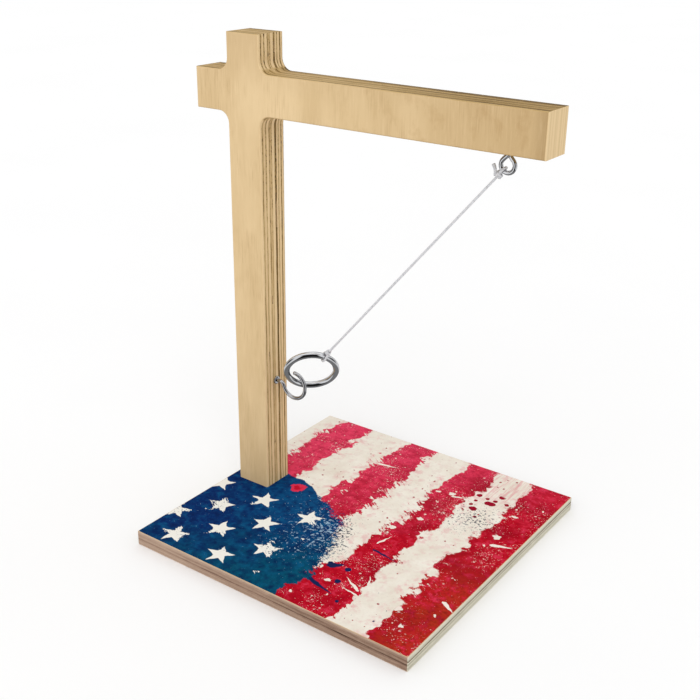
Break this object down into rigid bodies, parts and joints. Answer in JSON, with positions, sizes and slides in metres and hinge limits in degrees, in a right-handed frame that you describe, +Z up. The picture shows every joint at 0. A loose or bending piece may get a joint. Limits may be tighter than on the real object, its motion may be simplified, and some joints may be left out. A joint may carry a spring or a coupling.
{
  "type": "ring toss set",
  "caption": "Tabletop hook-and-ring game: a printed square board with a plywood post and arm, a ring on a cord under the arm and a hook on the post.",
  "frame": {"origin": "centre of the board's underside, which rests on the table", "axes": "+Z up, +X along the arm from the post towards the screw eye, +Y across the board"},
  "size_m": [0.287, 0.25, 0.377],
  "materials": {
    "plywood": "sanded birch plywood with a clear satin coat, dark and light ply lines on its cut edges",
    "printed_sheet": "satin laminated print in a worn stars-and-stripes paint pattern, red, cream and navy",
    "zinc_steel": "zinc plated",
    "chromed_wire": "bright plated wire",
    "chromed_ring": "polished nickel plated steel",
    "cord": "smooth twisted white nylon"
  },
  "bodies": {
    "stand": {"base_board": "plywood", "base_print": "printed_sheet", "post_arm": "plywood", "base_screws": "zinc_steel", "screw_eye": "chromed_wire"},
    "hook": {"screw_hook": "chromed_wire"},
    "eye_loop": {"cord_eye_loop": "cord"},
    "cord": {"cord_eye_knot": "cord", "cord_line": "cord"},
    "ring_tie": {"cord_ring_tie": "cord"},
    "ring": {"toss_ring": "chromed_ring"}
  },
  "joints": [
    {"name": "hook_turn", "type": "hinge", "parent": "stand", "child": "hook", "pos_m": [-0.0865, 0, 0.106], "axis": [1, 0, 0], "range_deg": [-10, 10]},
    {"name": "cord_swing", "type": "hinge", "parent": "stand", "child": "eye_loop", "pos_m": [0.108, 0, 0.3105], "axis": [0, -1, 0], "range_deg": [0, 130]},
    {"name": "cord_sway", "type": "hinge", "parent": "eye_loop", "child": "cord", "pos_m": [0.10476, 0, 0.30669], "axis": [-0.7616, 0, 0.6481], "range_deg": [-60, 60]},
    {"name": "ring_twist", "type": "hinge", "parent": "cord", "child": "ring_tie", "pos_m": [-0.03781, 0, 0.13914], "axis": [0.6481, 0, 0.7616], "range_deg": [-5, 88]},
    {"name": "ring_tilt", "type": "hinge", "parent": "ring_tie", "child": "ring", "pos_m": [-0.03781, 0, 0.13914], "axis": [0.5066, 0.7466, -0.4311], "range_deg": [-90, 0]}
  ]
}
